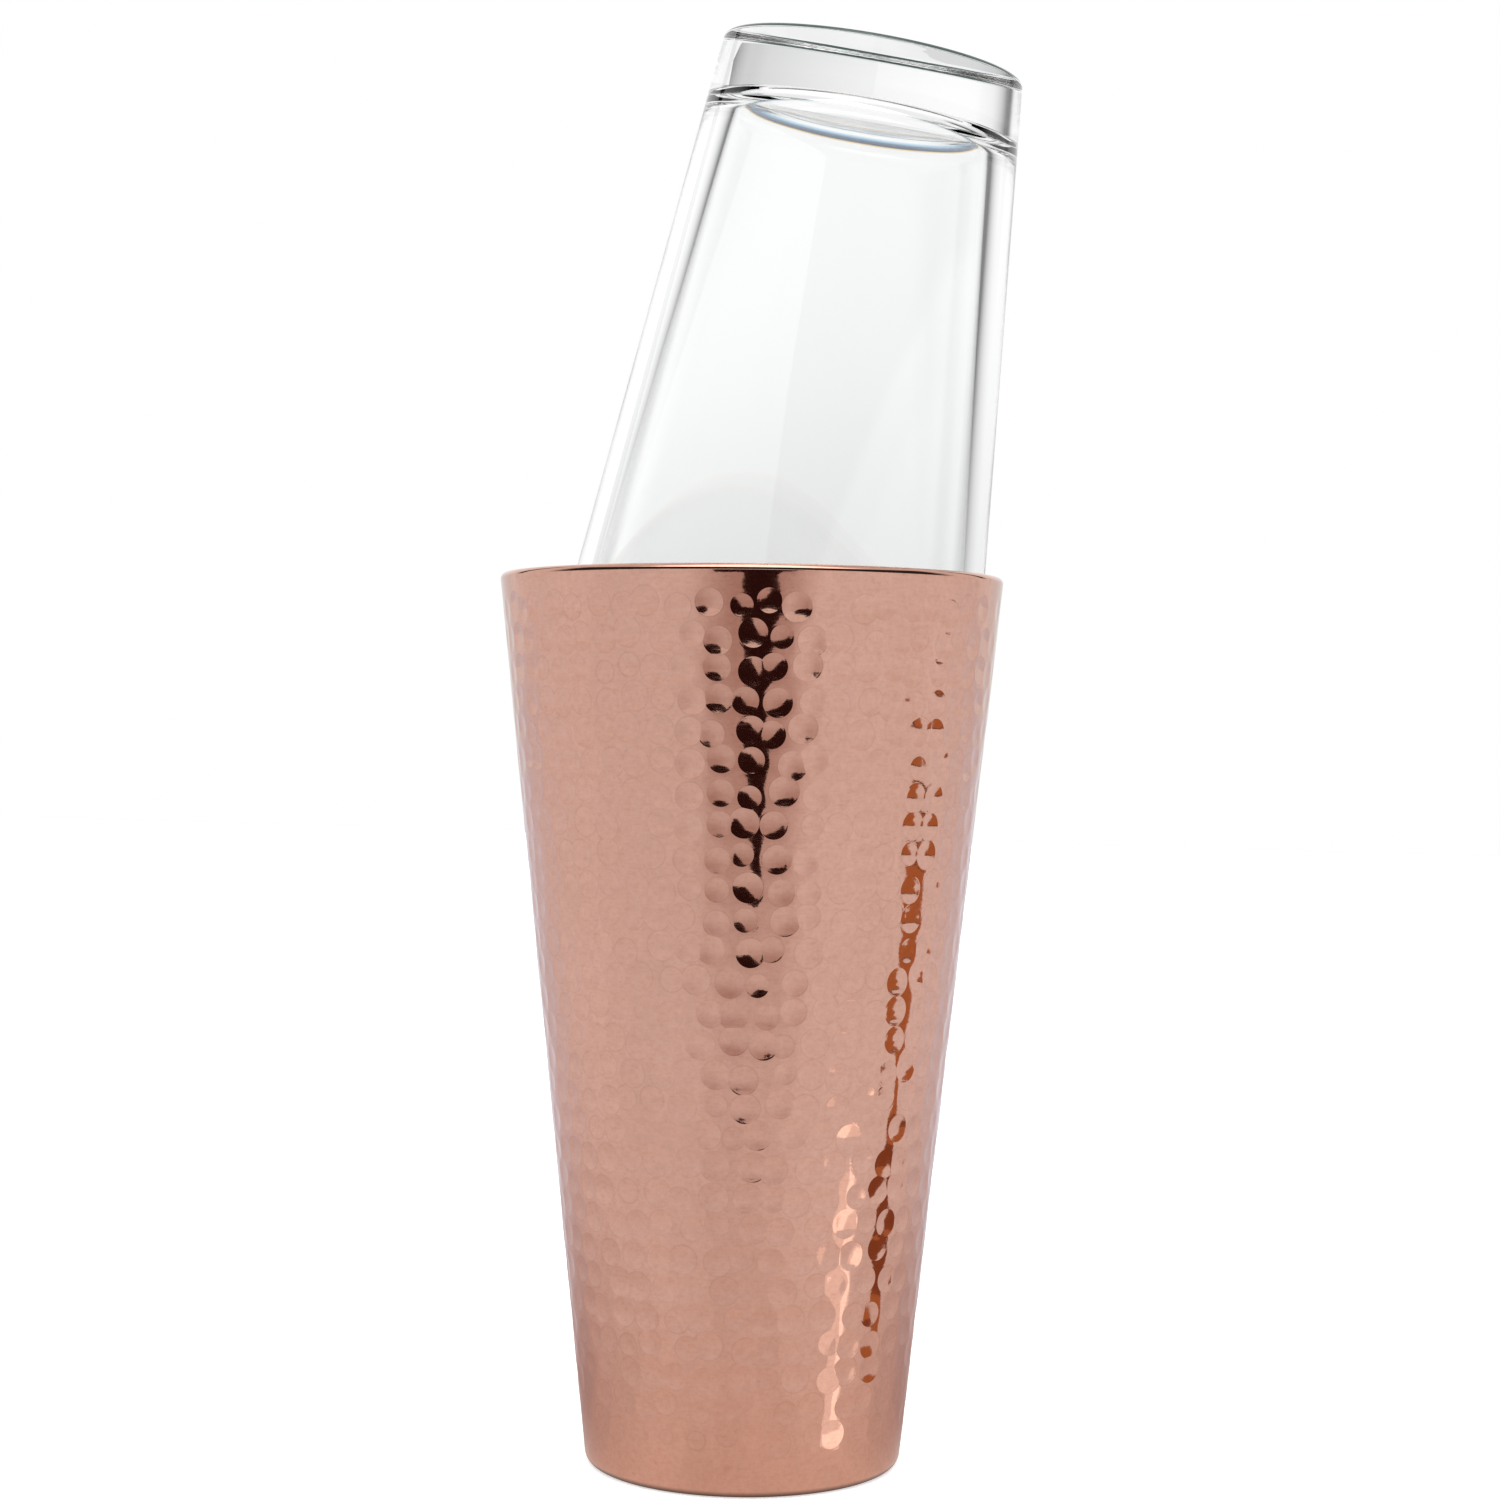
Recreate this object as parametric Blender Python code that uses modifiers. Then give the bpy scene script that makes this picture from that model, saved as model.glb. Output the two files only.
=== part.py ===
"""Two-piece cocktail shaker: a hammered copper cup with a steel liner, and a mixing glass.

The glass stands mouth down in the cup and leans towards +X, as it does once it has been
knocked tight. The origin is the centre of the cup's flat base, +Z is up, and all sizes
are in metres.
"""

import math

import bpy

# Copper cup
CUP_HEIGHT = 0.1785
BASE_RADIUS = 0.0316  # where the straight side would meet the table
RIM_RADIUS = 0.0508  # over the folded rim band
COPPER_THICKNESS = 0.00075
BASE_CORNER_RADIUS = 0.0023
RIM_BAND_HEIGHT = 0.0050
RIM_BAND_STEP = 0.0006  # how far the band stands proud of the straight side
RIM_BLEND_HEIGHT = 0.0150  # over which the side runs out into the band
RIM_LIP_DEPTH = 0.0046  # how far the folded edge reaches down inside

# Steel liner, held in the fold of the copper rim
LINER_THICKNESS = 0.00045
LAYER_GAP = 0.0003
LINER_TOP_DROP = 0.0022  # from the top of the rim to the liner's edge

# Mixing glass, measured from its foot towards its mouth
GLASS_LENGTH = 0.1440
FOOT_RADIUS = 0.0301
GLASS_TAPER = 0.1001  # radius gained per length
FOOT_CORNER_RADIUS = 0.0012
FOOT_THICKNESS = 0.0115
WALL_AT_FLOOR = 0.0060
WALL_AT_MOUTH = 0.0034
CAVITY_CORNER_RADIUS = 0.0060
LEAN_ANGLE = math.radians(9.9)
FOOT_CENTRE = (0.0246, 0.0, 0.2811)  # the glass hangs mouth down from here

# Turned surfaces
TURNING_STEPS = 72
ARC_STEPS = 6
MERGE_DISTANCE = 0.00001

BAND_BOTTOM = CUP_HEIGHT - RIM_BAND_HEIGHT
SIDE_TAPER = (RIM_RADIUS - RIM_BAND_STEP - BASE_RADIUS) / BAND_BOTTOM
SIDE_ANGLE = math.atan(SIDE_TAPER)
RIM_THICKNESS = 2 * (COPPER_THICKNESS + LAYER_GAP) + LINER_THICKNESS


def clear_scene():
    for old in list(bpy.data.objects):
        bpy.data.objects.remove(old)


def make_collection(name):
    collection = bpy.data.collections.new(name)
    bpy.context.scene.collection.children.link(collection)
    return collection


def make_material(name, color, roughness, metallic, transmission=0.0):
    material = bpy.data.materials.new(name)
    material.use_nodes = True
    shader = material.node_tree.nodes["Principled BSDF"]
    shader.inputs["Base Color"].default_value = (*color, 1.0)
    shader.inputs["Roughness"].default_value = roughness
    shader.inputs["Metallic"].default_value = metallic
    shader.inputs["Transmission Weight"].default_value = transmission
    return material


def arc(centre, radius, start, end, steps=ARC_STEPS):
    """Points of an arc in the (radius, height) plane, with both ends, angles in radians."""
    points = []
    for i in range(steps + 1):
        angle = start + (end - start) * i / steps
        points.append((centre[0] + radius * math.cos(angle), centre[1] + radius * math.sin(angle)))
    return points


def side_radius(height, inset=0.0):
    """Radius of the side at a height, for a surface that lies inset under the copper's outside."""
    straight = BASE_RADIUS + SIDE_TAPER * height
    share = min(1.0, max(0.0, 1.0 - (BAND_BOTTOM - height) / RIM_BLEND_HEIGHT))
    step = RIM_BAND_STEP * share * share * (3 - 2 * share)
    lean = math.cos(SIDE_ANGLE) * (1 - share) + share
    return straight + step - inset / lean


def side_points(low, inset, steps=5):
    """The side from low to the rim band: a straight run, then the curve that runs out into the band."""
    heights = [low]
    for i in range(steps + 1):
        heights.append(BAND_BOTTOM - RIM_BLEND_HEIGHT * (1 - i / steps))
    return [(side_radius(height, inset), height) for height in heights]


def floor_corner(inset):
    """The rounded corner between floor and side, from the floor outwards, for a surface at an inset."""
    radius = BASE_CORNER_RADIUS - inset if inset < BASE_CORNER_RADIUS else 0.0
    height = BASE_CORNER_RADIUS
    centre = (side_radius(height) - BASE_CORNER_RADIUS / math.cos(SIDE_ANGLE), height)
    return arc(centre, radius, -math.pi / 2, -SIDE_ANGLE)


def copper_profile():
    """Half section of the copper: floor, inside, folded rim, outside, and back under the base."""
    rim_centre = (RIM_RADIUS - RIM_THICKNESS / 2, CUP_HEIGHT - RIM_THICKNESS / 2)
    slot_radius = RIM_THICKNESS / 2 - COPPER_THICKNESS
    lip_bottom = CUP_HEIGHT - RIM_LIP_DEPTH
    lip_inside = RIM_RADIUS - RIM_THICKNESS
    inner_corner = floor_corner(COPPER_THICKNESS)
    outer_corner = floor_corner(0.0)
    inside = side_points(inner_corner[-1][1], COPPER_THICKNESS)
    outside = side_points(outer_corner[-1][1], 0.0)

    points = [(0.0, COPPER_THICKNESS), *inner_corner, *inside[1:]]
    points += arc(rim_centre, slot_radius, 0.0, math.pi)
    points += [(lip_inside + COPPER_THICKNESS, lip_bottom), (lip_inside, lip_bottom)]
    points += arc(rim_centre, RIM_THICKNESS / 2, math.pi, 0.0, 2 * ARC_STEPS)
    points += [*reversed(outside[1:]), *reversed(outer_corner), (0.0, 0.0)]
    return points


def liner_profile():
    """Half section of the liner, a plain thin cup that nests inside the copper."""
    outer_inset = COPPER_THICKNESS + LAYER_GAP
    inner_inset = outer_inset + LINER_THICKNESS
    top = CUP_HEIGHT - LINER_TOP_DROP
    inner_corner = floor_corner(inner_inset)
    outer_corner = floor_corner(outer_inset)
    slot_middle = RIM_RADIUS - RIM_THICKNESS / 2
    inside = side_points(inner_corner[-1][1], inner_inset)
    outside = side_points(outer_corner[-1][1], outer_inset)

    points = [(0.0, inner_inset), *inner_corner, *inside[1:]]
    points += [(slot_middle - LINER_THICKNESS / 2, top), (slot_middle + LINER_THICKNESS / 2, top)]
    points += [*reversed(outside[1:]), *reversed(outer_corner), (0.0, outer_inset)]
    return points


def glass_profile():
    """Half section of the glass in its own frame: the foot at height 0, the mouth below it."""
    taper_angle = math.atan(GLASS_TAPER)
    mouth_radius = FOOT_RADIUS + GLASS_TAPER * GLASS_LENGTH
    lip = WALL_AT_MOUTH / 2
    floor_outer = FOOT_RADIUS + GLASS_TAPER * FOOT_THICKNESS
    cavity_radius = floor_outer - WALL_AT_FLOOR
    cavity_depth = GLASS_LENGTH - FOOT_THICKNESS
    cavity_taper = (mouth_radius - WALL_AT_MOUTH - cavity_radius) / cavity_depth
    cavity_angle = math.atan(cavity_taper)
    foot_centre = (FOOT_RADIUS - FOOT_CORNER_RADIUS, -FOOT_CORNER_RADIUS)
    lip_centre = (mouth_radius - lip, -GLASS_LENGTH + lip)
    cavity_centre_height = -FOOT_THICKNESS - CAVITY_CORNER_RADIUS
    cavity_centre_radius = (
        cavity_radius
        + cavity_taper * CAVITY_CORNER_RADIUS
        - CAVITY_CORNER_RADIUS / math.cos(cavity_angle)
    )
    cavity_centre = (cavity_centre_radius, cavity_centre_height)

    points = [(0.0, 0.0), *arc(foot_centre, FOOT_CORNER_RADIUS, math.pi / 2, taper_angle)]
    points += arc(lip_centre, lip, taper_angle, -math.pi + cavity_angle, 2 * ARC_STEPS)
    points += arc(cavity_centre, CAVITY_CORNER_RADIUS, cavity_angle, math.pi / 2)
    points += [(0.0, -FOOT_THICKNESS)]
    return points


def turn(name, profile, material, collection):
    """A solid of revolution about the object's own Z axis."""
    mesh = bpy.data.meshes.new(name)
    vertices = [(radius, 0.0, height) for radius, height in profile]
    edges = [(i, i + 1) for i in range(len(profile) - 1)]
    mesh.from_pydata(vertices, edges, [])
    mesh.materials.append(material)
    turned = bpy.data.objects.new(name, mesh)
    collection.objects.link(turned)
    screw = turned.modifiers.new("Turn", "SCREW")
    screw.axis = "Z"
    screw.steps = TURNING_STEPS
    screw.render_steps = TURNING_STEPS
    screw.use_merge_vertices = True
    screw.merge_threshold = MERGE_DISTANCE
    screw.use_smooth_shade = True
    return turned


def build():
    clear_scene()
    shaker = make_collection("cocktail_shaker_set")
    copper = make_material("hammered_copper", (0.80, 0.45, 0.33), 0.16, 1.0)
    steel = make_material("liner_steel", (0.72, 0.71, 0.69), 0.28, 1.0)
    clear_glass = make_material("clear_glass", (0.95, 0.97, 0.96), 0.02, 0.0, 1.0)

    turn("copper_cup", copper_profile(), copper, shaker)
    turn("steel_liner", liner_profile(), steel, shaker)

    seat = bpy.data.objects.new("mixing_glass_seat", None)
    seat.location = FOOT_CENTRE
    seat.rotation_euler = (0.0, LEAN_ANGLE, 0.0)
    shaker.objects.link(seat)
    glass = turn("mixing_glass", glass_profile(), clear_glass, shaker)
    glass.parent = seat


build()
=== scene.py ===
import math

import bpy
from mathutils import Matrix, Vector


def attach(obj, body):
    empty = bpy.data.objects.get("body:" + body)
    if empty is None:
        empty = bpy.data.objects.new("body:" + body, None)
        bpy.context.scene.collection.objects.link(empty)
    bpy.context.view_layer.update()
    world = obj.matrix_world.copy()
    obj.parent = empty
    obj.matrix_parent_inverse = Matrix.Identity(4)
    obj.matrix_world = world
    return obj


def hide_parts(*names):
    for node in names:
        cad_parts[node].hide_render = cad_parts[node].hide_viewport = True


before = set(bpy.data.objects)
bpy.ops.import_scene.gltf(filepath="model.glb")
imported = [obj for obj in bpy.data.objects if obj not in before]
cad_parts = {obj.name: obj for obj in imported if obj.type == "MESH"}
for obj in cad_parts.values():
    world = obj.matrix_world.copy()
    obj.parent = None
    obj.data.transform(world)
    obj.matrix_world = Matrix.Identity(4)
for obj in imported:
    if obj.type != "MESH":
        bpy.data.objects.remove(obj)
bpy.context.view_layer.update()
print("frame loaded")

scene = bpy.context.scene


def arcPoints(centre, radius, start, end, steps):
    points = []
    for i in range(steps + 1):
        angle = start + (end - start) * i / steps
        points.append((centre[0] + radius * math.cos(angle), centre[1] + radius * math.sin(angle)))
    return points


def linePoints(start, end, steps):
    # both ends left out
    return [(start[0] + (end[0] - start[0]) * i / steps, start[1] + (end[1] - start[1]) * i / steps)
            for i in range(1, steps)]


def turnedMesh(name, profile, steps):
    # profile runs from axis to axis, down its outer side
    verts, faces, rings = [], [], []
    for radius, height in profile:
        if radius < 1e-7:
            rings.append([len(verts)])
            verts.append((0.0, 0.0, height))
            continue
        first = len(verts)
        for i in range(steps):
            angle = 2 * math.pi * i / steps
            verts.append((radius * math.cos(angle), radius * math.sin(angle), height))
        rings.append(list(range(first, first + steps)))
    for upper, lower in zip(rings[:-1], rings[1:]):
        for i in range(steps):
            j = (i + 1) % steps
            if len(upper) == 1:
                faces.append((upper[0], lower[i], lower[j]))
            elif len(lower) == 1:
                faces.append((upper[i], lower[0], upper[j]))
            else:
                faces.append((upper[i], lower[i], lower[j], upper[j]))
    mesh = bpy.data.meshes.new(name)
    mesh.from_pydata(verts, [], faces)
    mesh.shade_smooth()
    return mesh


def addPiece(name, mesh, material):
    piece = bpy.data.objects.new(name, mesh)
    mesh.materials.clear()
    mesh.materials.append(material)
    scene.collection.objects.link(piece)
    return piece


def feed(tree, socket, value):
    # a socket is linked, anything else becomes the plain value
    if isinstance(value, bpy.types.NodeSocket):
        tree.links.new(value, socket)
    elif socket.type == "RGBA":
        socket.default_value = (*value, 1.0)
    else:
        socket.default_value = value


def mathNode(tree, operation, *inputs):
    node = tree.nodes.new("ShaderNodeMath")
    node.operation = operation
    for socket, value in zip(node.inputs, inputs):
        feed(tree, socket, value)
    return node.outputs[0]


def vectorNode(tree, x=0.0, y=0.0, z=0.0):
    node = tree.nodes.new("ShaderNodeCombineXYZ")
    for socket, value in zip(node.inputs, (x, y, z)):
        feed(tree, socket, value)
    return node.outputs[0]


def splitPlace(tree, vector):
    parts = tree.nodes.new("ShaderNodeSeparateXYZ")
    tree.links.new(vector, parts.inputs[0])
    return parts.outputs


def reachOf(tree, x, y):
    return mathNode(tree, "SQRT", mathNode(tree, "MULTIPLY_ADD", x, x, mathNode(tree, "MULTIPLY", y, y)))


def unitClamp(tree, value):
    return mathNode(tree, "MINIMUM", mathNode(tree, "MAXIMUM", value, 0.0), 1.0)


def mapRange(tree, value, low, high, toLow=0.0, toHigh=1.0, kind="LINEAR"):
    node = tree.nodes.new("ShaderNodeMapRange")
    node.interpolation_type = kind
    tree.links.new(value, node.inputs["Value"])
    for label, number in (("From Min", low), ("From Max", high), ("To Min", toLow), ("To Max", toHigh)):
        node.inputs[label].default_value = number
    return node.outputs["Result"]


def smoothStep(tree, value, low, high, toLow=0.0, toHigh=1.0):
    return mapRange(tree, value, low, high, toLow, toHigh, "SMOOTHSTEP")


def mixed(tree, kind, factor, first, second):
    node = tree.nodes.new("ShaderNodeMix")
    node.data_type = kind
    for label, value in (("Factor", factor), ("A", first), ("B", second)):
        feed(tree, node.inputs[label], value)
    return node.outputs["Result"]


def mixColour(tree, factor, first, second):
    return mixed(tree, "RGBA", factor, first, second)


def mixNumber(tree, factor, first, second):
    return mixed(tree, "FLOAT", factor, first, second)


def newGroup(name, kind, inputs, outputs):
    tree = bpy.data.node_groups.new(name, kind)
    for label, socketType, value in inputs:
        socket = tree.interface.new_socket(label, in_out="INPUT", socket_type=socketType)
        if value is not None:
            socket.default_value = value
    for label, socketType in outputs:
        tree.interface.new_socket(label, in_out="OUTPUT", socket_type=socketType)
    return tree, tree.nodes.new("NodeGroupInput"), tree.nodes.new("NodeGroupOutput")


def useGroup(tree, group, kind, **values):
    node = tree.nodes.new(kind)
    node.node_tree = group
    for label, value in values.items():
        feed(tree, node.inputs[label.replace("_", " ")], value)
    return node


# the same rule shapes the metal and sharpens its shading
hammer = {
    "pitch": 0.0058,  # between marks in a row
    "rowPitch": 0.0059,
    "markRadius": 0.00292,
    "markDepth": 0.00023,
    "scatter": 0.42,  # share of the pitch
    "scatterUp": 0.7,  # share of that, up and down
    "unevenness": 0.45,  # how much weaker the weakest mark is
    "firstRow": 0.1738,  # top of the first row
    "lastRow": 0.0065,
    "thinning": 0.022,  # over this height marks run out towards the foot
    "loss": 0.9,  # how much of its depth a mark can lose there
    "seed": 4.0,
    "footRadius": 0.0316,
    "taper": 0.1072,
    "inMesh": 0.62,  # share of the depth that the mesh carries, the rest is bump
}

markInputs = [
    ("Angle", "NodeSocketFloat", 0.0),
    ("Height", "NodeSocketFloat", 0.0),
    ("Row Shift", "NodeSocketFloat", 0.0),
    ("Column Shift", "NodeSocketFloat", 0.0),
    ("Pitch", "NodeSocketFloat", hammer["pitch"]),
    ("Row Pitch", "NodeSocketFloat", hammer["rowPitch"]),
    ("Mark Radius", "NodeSocketFloat", hammer["markRadius"]),
    ("Mark Depth", "NodeSocketFloat", hammer["markDepth"]),
    ("Scatter", "NodeSocketFloat", hammer["scatter"]),
    ("Unevenness", "NodeSocketFloat", hammer["unevenness"]),
    ("First Row", "NodeSocketFloat", hammer["firstRow"]),
    ("Last Row", "NodeSocketFloat", hammer["lastRow"]),
    ("Thinning", "NodeSocketFloat", hammer["thinning"]),
    ("Seed", "NodeSocketFloat", hammer["seed"]),
    ("Foot Radius", "NodeSocketFloat", hammer["footRadius"]),
    ("Taper", "NodeSocketFloat", hammer["taper"]),
]


def randomNode(tree, x, y, z):
    noise = tree.nodes.new("ShaderNodeTexWhiteNoise")
    noise.noise_dimensions = "3D"
    tree.links.new(vectorNode(tree, x, y, z), noise.inputs["Vector"])
    return noise


def markGroup(kind):
    # depth below the plain side that one mark near a point gives there
    tree, given, result = newGroup("hammerMark", kind, markInputs, [("Depth", "NodeSocketFloat")])
    g = given.outputs
    row = mathNode(tree, "SUBTRACT", g["First Row"], g["Height"])
    row = mathNode(tree, "FLOOR", mathNode(tree, "DIVIDE", row, g["Row Pitch"]))
    row = mathNode(tree, "ADD", row, g["Row Shift"])
    middle = mathNode(tree, "MULTIPLY", mathNode(tree, "ADD", row, 0.5), g["Row Pitch"])
    middle = mathNode(tree, "SUBTRACT", g["First Row"], middle)
    radius = mathNode(tree, "MULTIPLY_ADD", middle, g["Taper"], g["Foot Radius"])
    girth = mathNode(tree, "MULTIPLY", radius, 2 * math.pi)
    count = mathNode(tree, "ROUND", mathNode(tree, "DIVIDE", girth, g["Pitch"]))
    start = randomNode(tree, row, 0.5, g["Seed"]).outputs["Value"]
    turn = mathNode(tree, "MULTIPLY", mathNode(tree, "DIVIDE", g["Angle"], 2 * math.pi), count)
    turn = mathNode(tree, "ADD", turn, start)
    column = mathNode(tree, "ADD", mathNode(tree, "FLOOR", turn), g["Column Shift"])
    wrapped = mathNode(tree, "FLOORED_MODULO", column, count)
    chance = splitPlace(tree, randomNode(tree, wrapped, row, g["Seed"]).outputs["Color"])
    aside = mathNode(tree, "MULTIPLY", mathNode(tree, "SUBTRACT", chance[0], 0.5), g["Scatter"])
    across = mathNode(tree, "SUBTRACT", mathNode(tree, "SUBTRACT", turn, column), 0.5)
    across = mathNode(tree, "SUBTRACT", across, aside)
    across = mathNode(tree, "MULTIPLY", across, mathNode(tree, "DIVIDE", girth, count))
    rise = mathNode(tree, "MULTIPLY", mathNode(tree, "SUBTRACT", chance[1], 0.5), g["Scatter"])
    spread = mathNode(tree, "MULTIPLY", g["Row Pitch"], hammer["scatterUp"])
    rise = mathNode(tree, "MULTIPLY_ADD", rise, spread, middle)
    up = mathNode(tree, "SUBTRACT", g["Height"], rise)
    away = mathNode(tree, "MULTIPLY", across, across)
    away = mathNode(tree, "MULTIPLY_ADD", up, up, away)
    away = mathNode(tree, "DIVIDE", away, mathNode(tree, "MULTIPLY", g["Mark Radius"], g["Mark Radius"]))
    # weak and missing marks, more of them towards the foot
    weak = mathNode(tree, "MULTIPLY", chance[2], chance[2])
    weak = mathNode(tree, "MULTIPLY", weak, g["Unevenness"])
    lost = mathNode(tree, "ADD", g["Last Row"], g["Thinning"])
    lost = mathNode(tree, "DIVIDE", mathNode(tree, "SUBTRACT", lost, rise), g["Thinning"])
    lost = mathNode(tree, "MAXIMUM", lost, 0.0)
    lost = mathNode(tree, "MULTIPLY", lost, mathNode(tree, "MULTIPLY", chance[2], hammer["loss"]))
    strength = mathNode(tree, "SUBTRACT", mathNode(tree, "SUBTRACT", 1.0, weak), lost)
    outside = mathNode(tree, "GREATER_THAN", rise, g["First Row"])
    below = mathNode(tree, "LESS_THAN", rise, g["Last Row"])
    strength = mathNode(tree, "SUBTRACT", strength, mathNode(tree, "ADD", outside, below))
    depth = mathNode(tree, "SUBTRACT", strength, away)
    depth = mathNode(tree, "MULTIPLY", depth, g["Mark Depth"])
    tree.links.new(depth, result.inputs[0])
    return tree


def fieldGroup(kind, nodeKind):
    # the deepest of the nine marks round a point
    one = markGroup(kind)
    inputs = [row for row in markInputs if "Shift" not in row[0]]
    outputs = [("Depth", "NodeSocketFloat"), ("Signed Depth", "NodeSocketFloat")]
    tree, given, result = newGroup("hammerField", kind, inputs, outputs)
    deepest = None
    for rowShift in (-1.0, 0.0, 1.0):
        for columnShift in (-1.0, 0.0, 1.0):
            mark = useGroup(tree, one, nodeKind, Row_Shift=rowShift, Column_Shift=columnShift)
            for socket in given.outputs:
                if socket.name and socket.name in mark.inputs:
                    tree.links.new(socket, mark.inputs[socket.name])
            depth = mark.outputs[0]
            deepest = depth if deepest is None else mathNode(tree, "MAXIMUM", deepest, depth)
    tree.links.new(mathNode(tree, "MAXIMUM", deepest, 0.0), result.inputs[0])
    tree.links.new(deepest, result.inputs[1])
    return tree


shapeField = fieldGroup("GeometryNodeTree", "GeometryNodeGroup")
shadeField = fieldGroup("ShaderNodeTree", "ShaderNodeGroup")
print("hammer rule built")


def newMaterial(name):
    material = bpy.data.materials.new(name)
    material.use_nodes = True
    tree = material.node_tree
    return material, tree, tree.nodes["Principled BSDF"]


def noiseTexture(tree, vector, scale, detail, roughness=0.5):
    noise = tree.nodes.new("ShaderNodeTexNoise")
    noise.inputs["Scale"].default_value = scale
    noise.inputs["Detail"].default_value = detail
    noise.inputs["Roughness"].default_value = roughness
    tree.links.new(vector, noise.inputs["Vector"])
    return noise.outputs["Fac"]


def objectPlace(tree):
    return tree.nodes.new("ShaderNodeTexCoord").outputs["Object"]


def bumpInto(tree, shader, height, distance=1.0):
    bump = tree.nodes.new("ShaderNodeBump")
    bump.inputs["Strength"].default_value = 1.0
    bump.inputs["Distance"].default_value = distance
    tree.links.new(height, bump.inputs["Height"])
    tree.links.new(bump.outputs[0], shader.inputs["Normal"])


copperLook = {
    "colour": (0.640, 0.362, 0.284),
    "deepColour": (0.620, 0.346, 0.266),
    "grainColour": (0.555, 0.292, 0.215),
    "mottleScale": 60.0,
    "mottle": (0.35, 0.70),  # where the deep colour sets in and is full
    "ringWidth": 0.0000090,  # as a depth below the plain side
    "ringHeight": 0.0000060,
    "patchScale": 110.0,  # the rings come and go in patches of this size
    "patch": (0.38, 0.62, 0.15, 1.0),
    # painted shade: the thin ring round each mark is darkened towards this colour
    "creaseShadeColour": (0.36, 0.17, 0.12),
    "creaseShade": 0.20,
    "roughness": 0.04,
    "roughnessSpread": 0.05,
    "lineScale": 1900.0,
    "lineStretch": 0.010,
    "lineDepth": 0.0000030,
    "grainScale": 900.0,
    "grainDepth": 0.0000030,
    "fullShare": (0.3, 0.7),  # from faint to full grain
    "leastLined": 0.3,  # share of the grain left between the lines
    "roughShare": (0.3, 0.8),  # from the smoothest to the roughest lines
    "skin": 0.00055,  # how far under the plain side still counts as hammered
}


def copperMaterial():
    material, tree, shader = newMaterial("hammeredCopper")
    place = objectPlace(tree)
    x, y, z = splitPlace(tree, place)
    angle = mathNode(tree, "ARCTAN2", y, x)
    field = useGroup(tree, shadeField, "ShaderNodeGroup", Angle=angle, Height=z,
                     Mark_Depth=hammer["markDepth"] * (1 - hammer["inMesh"]))
    # only the outer side is hammered
    side = mathNode(tree, "MULTIPLY_ADD", z, hammer["taper"], hammer["footRadius"] - copperLook["skin"])
    outer = mathNode(tree, "GREATER_THAN", reachOf(tree, x, y), side)
    depth = mathNode(tree, "MULTIPLY", field.outputs["Depth"], outer)
    # fine polishing lines round the side, and grain under them
    turned = vectorNode(tree, mathNode(tree, "MULTIPLY", angle, copperLook["lineStretch"]), 0.0, z)
    scratches = noiseTexture(tree, turned, copperLook["lineScale"], 2.0, 0.6)
    grain = noiseTexture(tree, place, copperLook["grainScale"], 2.0, 0.7)
    mottle = noiseTexture(tree, place, copperLook["mottleScale"], 4.0, 0.6)
    # metal pushed up in a thin ring round each mark
    ring = mathNode(tree, "DIVIDE", field.outputs["Signed Depth"], copperLook["ringWidth"])
    ring = mathNode(tree, "MULTIPLY", mathNode(tree, "MULTIPLY", ring, ring), -1.0)
    ring = mathNode(tree, "EXPONENT", ring)
    patch = mapRange(tree, noiseTexture(tree, place, copperLook["patchScale"], 1.0), *copperLook["patch"])
    ring = mathNode(tree, "MULTIPLY", mathNode(tree, "MULTIPLY", ring, patch), outer)
    height = mathNode(tree, "MULTIPLY", ring, copperLook["ringHeight"])
    height = mathNode(tree, "SUBTRACT", height, depth)
    height = mathNode(tree, "MULTIPLY_ADD", scratches, copperLook["lineDepth"], height)
    height = mathNode(tree, "MULTIPLY_ADD", grain, copperLook["grainDepth"], height)
    bumpInto(tree, shader, height)
    deep = mapRange(tree, mottle, *copperLook["mottle"])
    tone = mixColour(tree, deep, copperLook["colour"], copperLook["deepColour"])
    lined = mapRange(tree, scratches, *copperLook["fullShare"], copperLook["leastLined"], 1.0)
    fine = mathNode(tree, "MULTIPLY", mapRange(tree, grain, *copperLook["fullShare"]), lined)
    tone = mixColour(tree, fine, tone, copperLook["grainColour"])
    # painted shade: the ring round each mark is darkened in colour as well as raised in the bump
    paintedCreaseShade = mathNode(tree, "MULTIPLY", ring, copperLook["creaseShade"])
    tone = mixColour(tree, paintedCreaseShade, tone, copperLook["creaseShadeColour"])
    tree.links.new(tone, shader.inputs["Base Color"])
    rough = mapRange(tree, scratches, *copperLook["roughShare"], copperLook["roughness"],
                     copperLook["roughness"] + copperLook["roughnessSpread"])
    tree.links.new(rough, shader.inputs["Roughness"])
    shader.inputs["Metallic"].default_value = 1.0
    return material


steelLook = {
    "darkTone": (0.66, 0.65, 0.63),
    "lightTone": (0.78, 0.77, 0.75),
    "grainScale": 3500.0,
    "grainStretch": 0.004,
    "grainDepth": 0.000004,
    "roughness": (0.18, 0.34),
}


def steelMaterial():
    # spun metal: the grain runs round the axis
    material, tree, shader = newMaterial("linerSteel")
    x, y, z = splitPlace(tree, objectPlace(tree))
    around = mathNode(tree, "MULTIPLY", mathNode(tree, "ARCTAN2", y, x), steelLook["grainStretch"])
    turned = vectorNode(tree, around, 0.0, mathNode(tree, "ADD", z, reachOf(tree, x, y)))
    grain = noiseTexture(tree, turned, steelLook["grainScale"], 3.0)
    tree.links.new(mapRange(tree, grain, 0.3, 0.7, *steelLook["roughness"]), shader.inputs["Roughness"])
    tone = mixColour(tree, grain, steelLook["darkTone"], steelLook["lightTone"])
    tree.links.new(tone, shader.inputs["Base Color"])
    bumpInto(tree, shader, grain, steelLook["grainDepth"])
    shader.inputs["Metallic"].default_value = 1.0
    return material


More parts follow.
